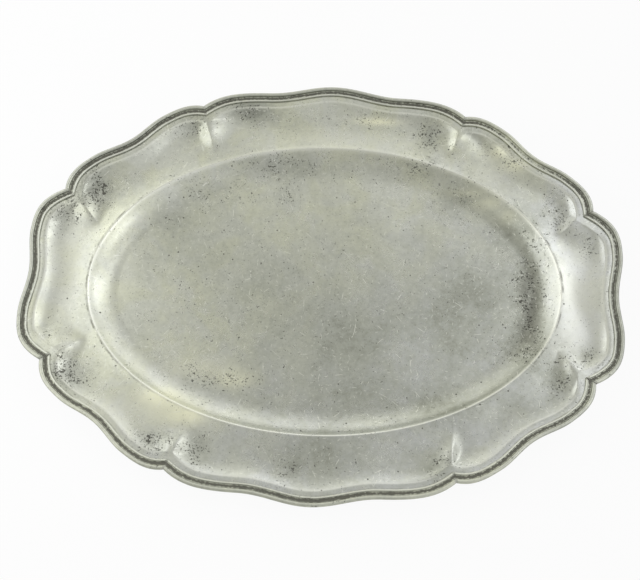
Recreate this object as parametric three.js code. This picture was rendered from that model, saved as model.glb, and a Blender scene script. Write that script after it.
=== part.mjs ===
// Oval pewter platter with a lobed rim and a reeded edge, in millimetres, +Z up.
// It stands on z = 0 with +X along its length and its origin under the middle of its outline.
import * as THREE from 'three';

// Driving dimensions: the outline, eight bowed lobes that meet at inward points called cusps
const END_CUSP_X = 195.7;
const END_CUSP_Y = 66.4;
const SIDE_CUSP_X = 99.8;
const SIDE_CUSP_Y = 140.5;
const END_SHOULDER = 21; // how far a lobe stands out from the straight line between its cusps
const CORNER_SHOULDER = 11;
const SIDE_SHOULDER = 13.7;
const CORNER_LEAN = 1.2; // a corner lobe stands out this much more at its end nearer the platter's end
const END_CROWN = -3.6; // hump at the middle of a lobe, or a hollow where it is negative
const CORNER_CROWN = -3.5;
const SIDE_CROWN = 7.3;
const CROWN_SHARE = 0.49; // half width of that hump as a share of half a lobe
const SHOULDER_POWER = 6.4; // how squarely a lobe turns down to its cusps
const OUTLINE_SKEW = 0.018; // sideways lean of the whole outline, as on a piece finished by hand

// Driving dimensions: the well, an oval a little askew to the outline
const WELL_LENGTH = 343;
const WELL_WIDTH = 222;
const WELL_TURN = 2; // degrees, anticlockwise from above
const WELL_SHIFT_X = 1.2;
const WELL_SHIFT_Y = 0.3;
const WELL_DEPTH = 10;
const WALL_RUN = 21; // how far the well's wall reaches in from its edge to the floor
const WALL_POWER = 2; // 1 is a straight slope, more is a wall that steepens towards its edge

// Driving dimensions: the sheet and the rim
const SHEET = 2.2;
const RIM_RISE = 3.6; // from the well's edge up to the land that carries the moulding
const BAND_WIDTH = 3.4; // plain flat band inside the moulding
const SHOULDER_WIDTH = 2; // where the band rolls over into the hollow panels
const SHOULDER_DROP = 0.7;
const PANEL_HOLLOW = 3.2;
const OUTER_POWER = 6; // how steeply a panel falls from its shoulder
const INNER_POWER = 2.2; // how late it rises again to the well's edge
const MIDDLE_SHARE = 0.25; // how much shallower a panel is midway along
const MIDDLE_REACH = 0.4; // half width of that part as a share of half a lobe
const WEB_START_WIDTH = 1; // flat web beside a cusp, at the start of a panel going anticlockwise
const WEB_END_WIDTH = 2; // and at the end of a panel
const WEB_TAPER = 1.5; // how soon the web narrows to a ridge towards the well
const WEB_START_SIDE = 4; // how far the web's steep side reaches into the start of a panel
const WEB_END_SIDE = 14; // and its gentle side into the end of a panel
const WEB_FADE = 2; // how much further the sides reach at the well
const WEB_POWER = 1.35; // 1 is a sharp corner beside the web, 2 a rounded one
const RIDGE_START = 0.15; // where the web starts to sink, as a share of the way to the well
const RIDGE_END = 0.75; // and where it has sunk away
const CORNER_POWER = 2.5; // how squarely a panel's shoulder turns into its crease
// depth of each panel as a share of the hollow, anticlockwise from the right
const PANEL_DEPTHS = [0.9, 1, 1.05, 1.05, 0.9, 0.8, 0.85, 0.9];
// where the creases meet the well, in degrees of its oval, anticlockwise from the front right
const CREASE_ANGLES = [-21, 18.4, 58.2, 118, 159.5, 198.4, 238.2, 301.8];

// Driving dimensions: the edge moulding and its solder
const BEAD_WIDTH = 3;
const BEAD_HEIGHT = 2.6;
const GROOVE_WIDTH = 2.6;
const GROOVE_HEIGHT = 0.7; // metal left under the groove
const REED_WIDTH = 1.6;
const REED_HEIGHT = 1.5;
const OVERHANG = 2; // how far the moulding stands out past the edge of the sheet
const UNDERCUT = 0.3; // how far its foot is drawn in under its outermost line
const BEAD_CORNER = 0.15; // where the round of the bead turns, as a share of its width
const BEAD_CORNER_RISE = 0.8; // and as a share of its height over the groove
const BEAD_WAIST = 0.35; // height of its outermost line as a share of its own
const MITRE_SOLDER = 0.8; // length of solder on each side of a cusp
const SOLDER_SINK = 0.15; // how far it lies below the strips that it joins
const SEAM_SOLDER = 1.4; // leg of the fillet under the moulding
const SOLDER_GAP = 0.1;
const MITRE_REACH = 22; // stretch beside a cusp over which the moulding's lines run into the mitre

// Facets
const END_STEPS = 16;
const CORNER_STEPS = 16;
const SIDE_STEPS = 22;
const PANEL_STEPS = [0.07, 0.15, 0.26, 0.42, 0.62, 0.82, 1];
const WALL_STEPS = [0.2, 0.45, 0.72, 1];
const UNDER_PANEL_STEPS = [0.07, 0.17, 0.35, 0.6, 0.9];
const UNDER_WALL_STEPS = [0.05, 0.3, 0.6, 1];

// Levels and widths that follow from them
const FLOOR_Z = SHEET;
const EDGE_Z = FLOOR_Z + WELL_DEPTH;
const LAND_Z = EDGE_Z + RIM_RISE;
const HOLLOW_SCALE = 1.2; // brings the deepest part of a hollow to about 1
const MOULDING_WIDTH = BEAD_WIDTH + GROOVE_WIDTH + REED_WIDTH;
const BAND_INSET = MOULDING_WIDTH + BAND_WIDTH;
const PANEL_INSET = BAND_INSET + SHOULDER_WIDTH;

const radians = THREE.MathUtils.degToRad;
const lerp = THREE.MathUtils.lerp;

// One lobe: its cusps anticlockwise, how it bows out between them, and the well's angles at its two ends
function makeLobe(name, start, end, shape, startAngle, endAngle) {
  const middle = start.clone().add(end).multiplyScalar(0.5);
  const along = end.clone().sub(start).multiplyScalar(0.5);
  const half = along.length();
  along.divideScalar(half);
  const out = new THREE.Vector2(along.y, -along.x);
  return { name, middle, along, out, half, startAngle, endAngle, ...shape };
}

const END_SHAPE = { shoulder: END_SHOULDER, lean: 0, crown: END_CROWN, steps: END_STEPS };
const SIDE_SHAPE = { shoulder: SIDE_SHOULDER, lean: 0, crown: SIDE_CROWN, steps: SIDE_STEPS };

function cornerShape(lean) {
  return { shoulder: CORNER_SHOULDER, lean, crown: CORNER_CROWN, steps: CORNER_STEPS };
}

function makeLobes() {
  const skewed = (x, y) => new THREE.Vector2(x + OUTLINE_SKEW * y, y);
  const endCusp = (sx, sy) => skewed(sx * END_CUSP_X, sy * END_CUSP_Y);
  const sideCusp = (sx, sy) => skewed(sx * SIDE_CUSP_X, sy * SIDE_CUSP_Y);
  const angles = CREASE_ANGLES.map(radians);
  angles.push(angles[0] + 2 * Math.PI);
  const leanStart = cornerShape(-CORNER_LEAN);
  const leanEnd = cornerShape(CORNER_LEAN);
  return [
    makeLobe('right', endCusp(1, -1), endCusp(1, 1), END_SHAPE, angles[0], angles[1]),
    makeLobe('back_right', endCusp(1, 1), sideCusp(1, 1), leanStart, angles[1], angles[2]),
    makeLobe('back', sideCusp(1, 1), sideCusp(-1, 1), SIDE_SHAPE, angles[2], angles[3]),
    makeLobe('back_left', sideCusp(-1, 1), endCusp(-1, 1), leanEnd, angles[3], angles[4]),
    makeLobe('left', endCusp(-1, 1), endCusp(-1, -1), END_SHAPE, angles[4], angles[5]),
    makeLobe('front_left', endCusp(-1, -1), sideCusp(-1, -1), leanStart, angles[5], angles[6]),
    makeLobe('front', sideCusp(-1, -1), sideCusp(1, -1), SIDE_SHAPE, angles[6], angles[7]),
    makeLobe('front_right', sideCusp(1, -1), endCusp(1, -1), leanEnd, angles[7], angles[8]),
  ];
}

// Height of a lobe over its chord at t, from -1 to 1: a square-shouldered bow with a hump at its middle
function bow(lobe, t) {
  const shoulder = (lobe.shoulder + lobe.lean * t) * (1 - Math.abs(t) ** SHOULDER_POWER);
  const wave = Math.abs(t) < CROWN_SHARE ? Math.cos((Math.PI / 2) * (t / CROWN_SHARE)) ** 2 : 0;
  return shoulder + lobe.crown * wave;
}

function outlinePoint(lobe, t) {
  return lobe.middle
    .clone()
    .addScaledVector(lobe.along, lobe.half * t)
    .addScaledVector(lobe.out, bow(lobe, t));
}

// Unit normal of the outline, pointing into the platter
function inwardNormal(lobe, t) {
  const step = 1e-4;
  const tangent = outlinePoint(lobe, t + step).sub(outlinePoint(lobe, t - step)).normalize();
  return new THREE.Vector2(-tangent.y, tangent.x);
}

// What turns a lobe's own normal at a cusp into the line of the mitre with its neighbour
function mitrePull(normal, neighbour) {
  const mitre = normal.clone().add(neighbour).divideScalar(1 + normal.dot(neighbour));
  return mitre.sub(normal);
}

const lobes = makeLobes();
lobes.forEach((lobe, i) => {
  const before = lobes[(i + lobes.length - 1) % lobes.length];
  const after = lobes[(i + 1) % lobes.length];
  lobe.depth = PANEL_DEPTHS[i];
  lobe.startPull = mitrePull(inwardNormal(lobe, -1), inwardNormal(before, 1));
  lobe.endPull = mitrePull(inwardNormal(lobe, 1), inwardNormal(after, -1));
});

// A column stands on the outline at t. Its inward line is square to the edge, and leans into the mitre
// beside a cusp.
function makeColumn(lobe, t) {
  const fromCusp = lobe.half * (1 - Math.abs(t));
  const weight = Math.max(0, 1 - fromCusp / MITRE_REACH) ** 2;
  const inward = inwardNormal(lobe, t).addScaledVector(t < 0 ? lobe.startPull : lobe.endPull, weight);
  const angle = lerp(lobe.startAngle, lobe.endAngle, (t + 1) / 2);
  return { edge: outlinePoint(lobe, t), inward, fromCusp, angle, t, depth: lobe.depth };
}

// Columns along one lobe, closest together near its cusps
function lobeColumns(lobe, reach) {
  return Array.from({ length: lobe.steps + 1 }, (_, k) => {
    const t = reach * Math.sin((Math.PI / 2) * ((2 * k) / lobe.steps - 1));
    return makeColumn(lobe, t);
  });
}

function rimPoint(column, inset, z) {
  const p = column.edge.clone().addScaledVector(column.inward, inset);
  return [p.x, p.y, z];
}

// Point of the oval that lies inset mm inside the well's edge
function wellPoint(angle, inset, z) {
  const x = (WELL_LENGTH / 2 - inset) * Math.cos(angle);
  const y = (WELL_WIDTH / 2 - inset) * Math.sin(angle);
  const c = Math.cos(radians(WELL_TURN));
  const s = Math.sin(radians(WELL_TURN));
  return [WELL_SHIFT_X + c * x - s * y, WELL_SHIFT_Y + s * x + c * y, z];
}

// How far the web beside a cusp fills a panel, 1 on the web itself. It is narrow with a steep side at the
// start of a panel and wider with a gentle side at its end, and sinks away before it reaches the well.
function webShare(column, v) {
  const [width, side] = column.t < 0 ? [WEB_START_WIDTH, WEB_START_SIDE] : [WEB_END_WIDTH, WEB_END_SIDE];
  const past = Math.max(0, column.fromCusp - width * (1 - v) ** WEB_TAPER);
  const sunk = THREE.MathUtils.smoothstep(v, RIDGE_START, RIDGE_END);
  return (1 - sunk) * Math.exp(-((past / (side * (1 + WEB_FADE * v * v))) ** WEB_POWER));
}

// The lesser of two shares from 0 to 1, with a rounded corner where they cross
function lesser(a, b) {
  const both = a * b;
  if (both <= 0) return 0;
  return both / (a ** CORNER_POWER + b ** CORNER_POWER - both ** CORNER_POWER) ** (1 / CORNER_POWER);
}

// Rim panel from its shoulder, v = 0, to the well's edge, v = 1: it falls steeply from the shoulder and from
// the webs beside the cusps into a hollow, rises slowly to the well, and is shallower midway along
function panelPoint(column, v, drop) {
  const [ox, oy] = rimPoint(column, PANEL_INSET, 0);
  const [ix, iy] = wellPoint(column.angle, 0, 0);
  const start = LAND_Z - SHOULDER_DROP * (1 - webShare(column, 0));
  const own = lerp(column.depth, 1, column.t ** 4);
  const depth = PANEL_HOLLOW * own * (1 - MIDDLE_SHARE * Math.exp(-((column.t / MIDDLE_REACH) ** 2)));
  const pocket = lesser(1 - (1 - v) ** OUTER_POWER, 1 - webShare(column, v));
  const z = lerp(start, EDGE_Z, v) - depth * HOLLOW_SCALE * pocket * (1 - v ** INNER_POWER);
  return [lerp(ox, ix, v), lerp(oy, iy, v), z - drop];
}

// The well's wall from its edge, x = 0, to the floor, x = 1, set back square to its slope by a thickness
function wallPoint(column, x, thickness) {
  const fall = Math.atan((WALL_POWER * WELL_DEPTH * (1 - x) ** (WALL_POWER - 1)) / WALL_RUN);
  const inset = WALL_RUN * x - thickness * Math.sin(fall);
  const z = FLOOR_Z + WELL_DEPTH * (1 - x) ** WALL_POWER - thickness * Math.cos(fall);
  return wellPoint(column.angle, inset, z);
}

function solid(points, triangles) {
  const geometry = new THREE.BufferGeometry();
  geometry.setAttribute('position', new THREE.Float32BufferAttribute(points.flat(), 3));
  geometry.setIndex(triangles.flat());
  geometry.computeVertexNormals();
  return geometry;
}

// The dish: rows of points round the platter, from the edge of the sheet over the rim to the floor, and
// the same again below
function dishGeometry() {
  const columns = lobes.flatMap((lobe) => lobeColumns(lobe, 1).slice(0, -1));
  const topRows = [
    columns.map((c) => rimPoint(c, OVERHANG, LAND_Z)),
    columns.map((c) => rimPoint(c, BAND_INSET, LAND_Z)),
    columns.map((c) => panelPoint(c, 0, 0)),
    ...PANEL_STEPS.map((v) => columns.map((c) => panelPoint(c, v, 0))),
    ...WALL_STEPS.map((x) => columns.map((c) => wallPoint(c, x, 0))),
  ];
  const underRows = [
    columns.map((c) => rimPoint(c, OVERHANG, LAND_Z - SHEET)),
    columns.map((c) => rimPoint(c, BAND_INSET, LAND_Z - SHEET)),
    ...UNDER_PANEL_STEPS.map((v) => columns.map((c) => panelPoint(c, v, SHEET))),
    ...UNDER_WALL_STEPS.map((x) => columns.map((c) => wallPoint(c, x, SHEET))),
  ];
  const count = columns.length;
  const points = [...topRows, ...underRows].flat();
  const triangles = [];
  const quad = (a, b, c, d) => triangles.push([a, b, c], [a, c, d]);
  const next = (j) => (j + 1) % count;
  const middles = [wellPoint(0, WELL_LENGTH / 2, FLOOR_Z), wellPoint(0, WELL_LENGTH / 2, 0)];
  const [topMiddle, underMiddle] = [points.length, points.length + 1];
  const under = topRows.length * count;
  const lastTop = under - count;
  const lastUnder = points.length - count;
  for (let j = 0; j < count; j += 1) {
    for (let row = 0; row < lastTop; row += count) {
      quad(row + j, row + next(j), row + count + next(j), row + count + j);
    }
    for (let row = under; row < lastUnder; row += count) {
      quad(row + j, row + count + j, row + count + next(j), row + next(j));
    }
    triangles.push([lastTop + j, lastTop + next(j), topMiddle]);
    triangles.push([lastUnder + next(j), lastUnder + j, underMiddle]);
    quad(under + j, under + next(j), next(j), j);
  }
  return solid([...points, ...middles], triangles);
}

// A section of [inset, z] points, anticlockwise, carried along columns and closed at both ends
function carried(section, columns) {
  const count = section.length;
  const points = columns.flatMap((c) => section.map(([inset, z]) => rimPoint(c, inset, z)));
  const triangles = [];
  for (let k = 0; k + 1 < columns.length; k += 1) {
    for (let i = 0; i < count; i += 1) {
      const a = k * count + i;
      const b = k * count + ((i + 1) % count);
      triangles.push([a, b, b + count], [a, b + count, a + count]);
    }
  }
  const last = (columns.length - 1) * count;
  const outline = section.map(([inset, z]) => new THREE.Vector2(inset, z));
  for (const [a, b, c] of THREE.ShapeUtils.triangulateShape(outline, [])) {
    triangles.push([a, c, b], [last + a, last + b, last + c]);
  }
  return solid(points, triangles);
}

// Section of the moulding that lies on the rim's land: bead, groove and reed, from the outside in
function mouldingSection(sink) {
  const groove = LAND_Z + GROOVE_HEIGHT - sink;
  const bead = LAND_Z + BEAD_HEIGHT - sink;
  const corner = lerp(groove, bead, BEAD_CORNER_RISE);
  const reed = LAND_Z + REED_HEIGHT - sink;
  const reedStart = BEAD_WIDTH + GROOVE_WIDTH;
  return [
    [UNDERCUT, LAND_Z],
    [MOULDING_WIDTH, LAND_Z],
    [MOULDING_WIDTH, groove],
    [MOULDING_WIDTH - REED_WIDTH / 4, reed],
    [reedStart + REED_WIDTH / 4, reed],
    [reedStart, groove],
    [BEAD_WIDTH, groove],
    [BEAD_WIDTH * (1 - BEAD_CORNER), corner],
    [BEAD_WIDTH / 2, bead],
    [BEAD_WIDTH * BEAD_CORNER, corner],
    [0, lerp(LAND_Z, bead, BEAD_WAIST)],
  ];
}

// Section of the solder under the moulding: a fillet in the corner that it makes with the edge of the sheet
function seamSection() {
  const corner = OVERHANG - SOLDER_GAP;
  const top = LAND_Z - SOLDER_GAP;
  return [
    [corner - SEAM_SOLDER, top],
    [corner, top - SEAM_SOLDER],
    [corner, top],
  ];
}

const PEWTER = { color: 0x9d9d93, metalness: 0.9, roughness: 0.42 };
const SOLDER = { color: 0x8b8b84, metalness: 0.85, roughness: 0.5 };

function addPiece(group, name, geometry, finish) {
  const mesh = new THREE.Mesh(geometry, new THREE.MeshStandardMaterial(finish));
  mesh.name = name;
  group.add(mesh);
}

const platter = new THREE.Group();
platter.name = 'pewter_platter';
addPiece(platter, 'dish_body', dishGeometry(), PEWTER);
lobes.forEach((lobe, i) => {
  const after = lobes[(i + 1) % lobes.length];
  const reach = 1 - MITRE_SOLDER / lobe.half;
  const reachAfter = 1 - MITRE_SOLDER / after.half;
  const columns = lobeColumns(lobe, reach);
  const joint = [makeColumn(lobe, reach), makeColumn(lobe, 1), makeColumn(after, -reachAfter)];
  addPiece(platter, `edge_moulding_${lobe.name}`, carried(mouldingSection(0), columns), PEWTER);
  addPiece(platter, `seam_solder_${lobe.name}`, carried(seamSection(), columns), SOLDER);
  addPiece(platter, `mitre_solder_${lobe.name}`, carried(mouldingSection(SOLDER_SINK), joint), SOLDER);
});

export default platter;
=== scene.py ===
"""Oval pewter platter with a lobed rim, hollow panels between creases and a reeded edge moulding."""
import math
from types import SimpleNamespace

import bpy
import numpy as np
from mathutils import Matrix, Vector


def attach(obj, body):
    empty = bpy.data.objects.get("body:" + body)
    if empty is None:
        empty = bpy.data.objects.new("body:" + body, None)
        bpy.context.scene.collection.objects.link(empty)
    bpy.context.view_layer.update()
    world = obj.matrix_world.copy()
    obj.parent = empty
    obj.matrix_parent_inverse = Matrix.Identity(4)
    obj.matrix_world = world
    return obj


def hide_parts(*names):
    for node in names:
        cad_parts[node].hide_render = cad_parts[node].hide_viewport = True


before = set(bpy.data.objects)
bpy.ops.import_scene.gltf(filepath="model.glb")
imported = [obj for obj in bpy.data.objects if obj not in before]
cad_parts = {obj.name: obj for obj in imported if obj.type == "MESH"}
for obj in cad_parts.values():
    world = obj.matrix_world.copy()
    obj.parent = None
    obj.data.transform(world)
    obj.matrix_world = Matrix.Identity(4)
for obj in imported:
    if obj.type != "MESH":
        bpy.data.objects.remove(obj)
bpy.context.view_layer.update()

bl_info = {
    "name": "Pewter platter",
    "version": (1, 0, 0),
    "blender": (4, 5, 0),
    "location": "View3D > Sidebar > Platter",
    "description": "Builds an oval pewter platter with a lobed rim and a reeded edge",
    "category": "Add Mesh",
}

MM = 0.001
LOBES = ("right", "back_right", "back", "back_left", "left", "front_left", "front", "front_right")

# Steps of each piece along a lobe, and of a mitre on each side of its cusp
DISH_STEPS = 80
STRIP_STEPS = 120
SEAM_STEPS = 72
MITRE_STEPS = 5
SHARP_ANGLE = math.radians(55)  # corners over this angle stay sharp

# Fixed numbers of the shapes
WEB_TAPER = 1.5  # how soon a web narrows towards the well
HOLLOW_SCALE = 1.2  # brings the deepest part of a hollow to about 1
DEPTH_POWER = 4  # how near to its cusps a lobe keeps its own depth
RIM_SLOPE = 0.2  # of the rim at the well's edge
WAVES = 14  # plane waves in the unevenness of hand finishing
WAVE_SPREAD = (0.7, 1.6)  # their shortest and longest, as shares of the wavelength
TINY = 1e-9  # keeps a division from nothing by nothing


def number(name, description, value, **options):
    """A number that a user may change."""
    return bpy.props.FloatProperty(name=name, description=description, default=value, **options)


def length(name, description, millimetres):
    """A length that a user may change, shown in scene units."""
    return number(name, description, millimetres * MM, unit="LENGTH", precision=5)


def angle(name, description, degrees):
    """An angle that a user may change."""
    return number(name, description, math.radians(degrees), subtype="ANGLE")


def share(name, description, value):
    """A share that a user may change."""
    return number(name, description, value, subtype="FACTOR")


def numbers(name, description, values, **options):
    """A few numbers that a user may change."""
    return bpy.props.FloatVectorProperty(
        name=name, description=description, default=values, size=len(values), **options
    )


def tint(name, description, value):
    """A linear colour that a user may change."""
    return numbers(name, description, value, min=0.0, max=1.0, subtype="COLOR")


class PlatterOutline(bpy.types.PropertyGroup):
    """The lobed outline of the platter."""

    end_cusp_x: length("End cusp, along", "Half the distance between the end cusps, lengthways", 195.7)
    end_cusp_y: length("End cusp, across", "Half the distance between the end cusps, crossways", 66.4)
    side_cusp_x: length("Side cusp, along", "Half the distance between the side cusps, lengthways", 99.8)
    side_cusp_y: length("Side cusp, across", "Half the distance between the side cusps, crossways", 140.5)
    end_shoulder: length("End bow", "How far an end lobe stands out from its chord", 21)
    corner_shoulder: length("Corner bow", "How far a corner lobe stands out from its chord", 11)
    side_shoulder: length("Side bow", "How far a side lobe stands out from its chord", 13.7)
    corner_lean: length("Corner lean", "How much more a corner lobe stands out towards the end", 1.2)
    end_crown: length("End crown", "Hump at the middle of an end lobe", -3.6)
    corner_crown: length("Corner crown", "Hump at the middle of a corner lobe", -3.5)
    side_crown: length("Side crown", "Hump at the middle of a side lobe", 7.3)
    crown_share: share("Crown share", "Half width of the hump as a share of half a lobe", 0.49)
    shoulder_power: number("Shoulder power", "How squarely a lobe turns down to its cusps", 6.4)
    skew: share("Skew", "Sideways lean of the outline", 0.018)
    mitre_reach: length("Mitre reach", "Stretch beside a cusp over which lines run into the mitre", 22)


class PlatterRelief(bpy.types.PropertyGroup):
    """The well, the rim and the sheet."""

    well_length: length("Well length", "Length of the well's oval edge", 343)
    well_width: length("Well width", "Width of the well's oval edge", 222)
    well_turn: angle("Well turn", "How far the well is turned in the outline", 2)
    well_shift_x: length("Well shift, along", "How far the well is off the middle, lengthways", 1.2)
    well_shift_y: length("Well shift, across", "How far the well is off the middle, crossways", 0.3)
    well_depth: length("Well depth", "From the well's edge down to its floor", 10)
    wall_run: length("Wall run", "How far the wall reaches in from the edge to the floor", 21)
    wall_power: number("Wall power", "1 is a straight slope, more steepens towards the edge", 2.0)
    sheet: length("Sheet", "Thickness of the metal", 2.2)
    rim_rise: length("Rim rise", "From the well's edge up to the land under the moulding", 3.6)
    band_width: length("Band width", "Flat band inside the moulding", 3.4)
    shoulder_width: length("Shoulder width", "Where the band rolls over into the panels", 2)
    shoulder_drop: length("Shoulder drop", "How far the band rolls down there", 0.7)
    panel_hollow: length("Panel hollow", "Depth of the hollow panels", 3.2)
    outer_power: number("Outer power", "How steeply a panel falls from its shoulder near the cusps", 6.5)
    outer_middle: numbers(
        "Outer power, middle",
        "How steeply each panel falls from its shoulder at the middle, from the right lobe on",
        (2.2, 3.0, 5.0, 3.5, 5.0, 4.5, 6.0, 4.0),
    )
    lobe_depth: numbers(
        "Lobe depths",
        "Depth of each panel as a share of the hollow, from the right lobe on",
        (0.9, 1.0, 1.05, 1.05, 0.9, 0.8, 0.85, 0.9),
    )
    inner_power: number("Inner power", "How late a panel rises to the well's edge", 2.2)
    middle_share: share("Middle share", "How much shallower a panel is at the middle of its lobe", 0.25)
    middle_reach: share("Middle reach", "Half width of that middle as a share of half a lobe", 0.4)
    web_width: length("Web width", "Flat web beside a cusp at the start of a panel, going anticlockwise", 1)
    web_width_end: length("Web width, end", "Flat web beside a cusp at the end of a panel", 2)
    web_side: numbers(
        "Web sides",
        "How far the web's side reaches into the start of each panel, from the right lobe on",
        [w * MM for w in (3, 4, 4, 4, 4, 4, 6, 3)],
        unit="LENGTH",
        precision=5,
    )
    web_side_end: length("Web side, end", "How far the web's side reaches into the end of a panel", 14)
    web_fade: number("Web fade", "How much further the sides reach out at the well", 2.0)
    ridge_start: share("Ridge start", "Where along a panel a web starts to sink", 0.15)
    ridge_end: numbers(
        "Ridge ends",
        "Where along a panel the web at each cusp has sunk away, from the front right end on",
        (0.75, 0.75, 0.75, 0.75, 0.75, 0.75, 0.75, 0.7),
    )
    roll_power: number("Roll power", "How late the band rolls over into the panels", 3.0)
    web_power: number("Web power", "1 is a sharp corner beside the web, 2 a rounded one", 1.35)
    corner_power: number("Corner power", "How squarely a panel's shoulder turns into its crease", 2.5)
    crease_angles: numbers(
        "Crease angles",
        "Where the creases meet the well, anticlockwise from the front right",
        [math.radians(a) for a in (-21, 18.4, 58.2, 118, 159.5, 198.4, 238.2, 301.8)],
        unit="ROTATION",
    )
    lip: length("Well lip", "Height of the fine raised line along the well's edge", 0.6)
    lip_run: length("Lip run", "Over what distance the panel rises into that line", 2.2)
    edge_round: length("Edge round", "How far the well's edge is rounded over", 1.0)
    waver: length("Waver", "Unevenness left by hand finishing", 0.12)


class PlatterMoulding(bpy.types.PropertyGroup):
    """The reeded edge moulding and its solder."""

    bead_width: length("Bead width", "Width of the outer bead", 3)
    bead_height: length("Bead height", "Height of the outer bead", 2.6)
    groove_width: length("Groove width", "Width of the groove", 2.6)
    groove_height: length("Groove height", "Metal left under the groove", 0.65)
    reed_width: length("Reed width", "Width of the inner reed", 1.6)
    reed_height: length("Reed height", "Height of the inner reed", 1.5)
    overhang: length("Overhang", "How far the moulding stands out past the sheet", 2)
    undercut: length("Undercut", "How far the foot is drawn in under the bead", 0.3)
    solder_length: length("Mitre solder", "Length of solder on each side of a cusp", 0.8)
    solder_sink: length("Solder sink", "How far the solder lies below the strips", 0.15)
    seam_leg: length("Seam solder", "Leg of the fillet under the moulding", 1.4)
    seam_gap: length("Solder gap", "Room left round the fillet", 0.1)


class PlatterFinish(bpy.types.PropertyGroup):
    """Colours of the metal, its tarnish, and its painted highlights and reflections."""

    pewter: tint("Pewter", "Clean worn pewter", (0.588, 0.597, 0.48))
    grey: tint("Grey pewter", "Clean pewter where it is less yellow", (0.574, 0.586, 0.572))
    tarnish: tint("Tarnish", "Soft grey film on the pewter", (0.35, 0.36, 0.31))
    patina: tint("Patina", "Dark film in the grooves", (0.115, 0.113, 0.094))
    pit: tint("Pit", "Dark corrosion pits", (0.055, 0.053, 0.044))
    # bright: rubbed metal and fine scratches, and the colour of painted highlights and painted glints
    bright: tint("Rubbed metal", "Rubbed edges, fine scratches, painted highlights and glints", (0.76, 0.765, 0.69))
    # the colour of painted reflections of a warm lamp
    warm_reflection_colour: tint("Warm reflection", "Painted reflection of a warm lamp", (0.88, 0.87, 0.65))
    solder: tint("Solder", "Dull solder in the joints", (0.42, 0.42, 0.37))


class PlatterStage(bpy.types.PropertyGroup):
    """The studio round the platter."""

    lens: number("Lens", "Focal length on a 36 mm wide picture", 67.5, unit="CAMERA")
    distance: length("Camera distance", "From the camera to the point that it looks at", 863)
    azimuth: angle("Camera azimuth", "Turn of the camera round the platter", 2.67)
    elevation: angle("Camera elevation", "Height of the camera over the horizon", 69.49)
    floor: tint("Floor", "Colour of the floor", (1.0, 1.0, 1.0))
    warm: tint("Warm side", "Tint of the studio at the left", (1.0, 1.0, 0.93))
    cool: tint("Cool side", "Tint of the studio at the right", (0.985, 0.99, 1.0))
    softbox: tint("Softboxes", "Colour of the softboxes at both sides", (0.96, 0.975, 1.0))


def settings():
    """The scene's platter settings, by group."""
    groups = {key.removeprefix("platter_"): getattr(bpy.context.scene, key) for key in GROUPS}
    return SimpleNamespace(**groups)


def levels(relief, moulding):
    """Heights and insets that follow from the driving sizes."""
    edge = relief.sheet + relief.well_depth
    strip = moulding.bead_width + moulding.groove_width + moulding.reed_width
    band = strip + relief.band_width
    return SimpleNamespace(
        floor=relief.sheet,
        edge=edge,
        land=edge + relief.rim_rise,
        strip=strip,
        band=band,
        panel_inset=band + relief.shoulder_width,
    )


def lobe_table(outline, relief):
    """Eight cusps anticlockwise from the front right, each lobe's bow, and the well's angle at each cusp.
    A cusp is a corner of a symmetric octagon, (x, y), moved sideways to x + skew y."""
    side = np.array([0, 0, 1, 1, 0, 0, 1, 1], bool)
    x = np.where(side, outline.side_cusp_x, outline.end_cusp_x) * [1, 1, 1, -1, -1, -1, -1, 1]
    y = np.where(side, outline.side_cusp_y, outline.end_cusp_y) * [-1, 1, 1, 1, 1, -1, -1, -1]
    angles = np.array(relief.crease_angles)
    angles = np.append(angles, angles[0] + 2 * math.pi)
    end = (outline.end_shoulder, 0.0, outline.end_crown)
    out = (outline.corner_shoulder, -outline.corner_lean, outline.corner_crown)
    back = (outline.corner_shoulder, outline.corner_lean, outline.corner_crown)
    flank = (outline.side_shoulder, 0.0, outline.side_crown)
    shape = np.array([end, out, flank, back, end, out, flank, back])
    return SimpleNamespace(
        cusps=np.stack((x + outline.skew * y, y), axis=1),
        angles=angles,
        shape=shape,
        outline=outline,
    )


def chord(table, lobe):
    """Middle, unit direction and half length of the straight line between a lobe's cusps."""
    start = table.cusps[lobe]
    end = table.cusps[(lobe + 1) % 8]
    half = np.linalg.norm(end - start, axis=-1) / 2
    return (start + end) / 2, (end - start) / (2 * half[..., None]), half


def outline_point(table, lobe, t):
    """Point of a lobe at t from -1 to 1: its chord plus a square-shouldered bow, which is
    (shoulder + lean t) (1 - |t| ^ power), with a cosine-squared hump at its middle."""
    outline = table.outline
    middle, along, half = chord(table, lobe)
    shoulder, lean, crown = np.moveaxis(table.shape[lobe], -1, 0)
    hump = np.cos(np.pi / 2 * np.clip(t / outline.crown_share, -1, 1)) ** 2
    rise = (shoulder + lean * t) * (1 - np.abs(t) ** outline.shoulder_power) + crown * hump
    out = np.stack((along[..., 1], -along[..., 0]), axis=-1)
    return middle + along * (half * t)[..., None] + out * rise[..., None]


def inward_normal(table, lobe, t):
    """Unit normal of the outline, pointing into the platter: its tangent turned a quarter left."""
    step = 1e-4
    tangent = outline_point(table, lobe, t + step) - outline_point(table, lobe, t - step)
    tangent /= np.linalg.norm(tangent, axis=-1, keepdims=True)
    return np.stack((-tangent[..., 1], tangent[..., 0]), axis=-1)


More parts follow.
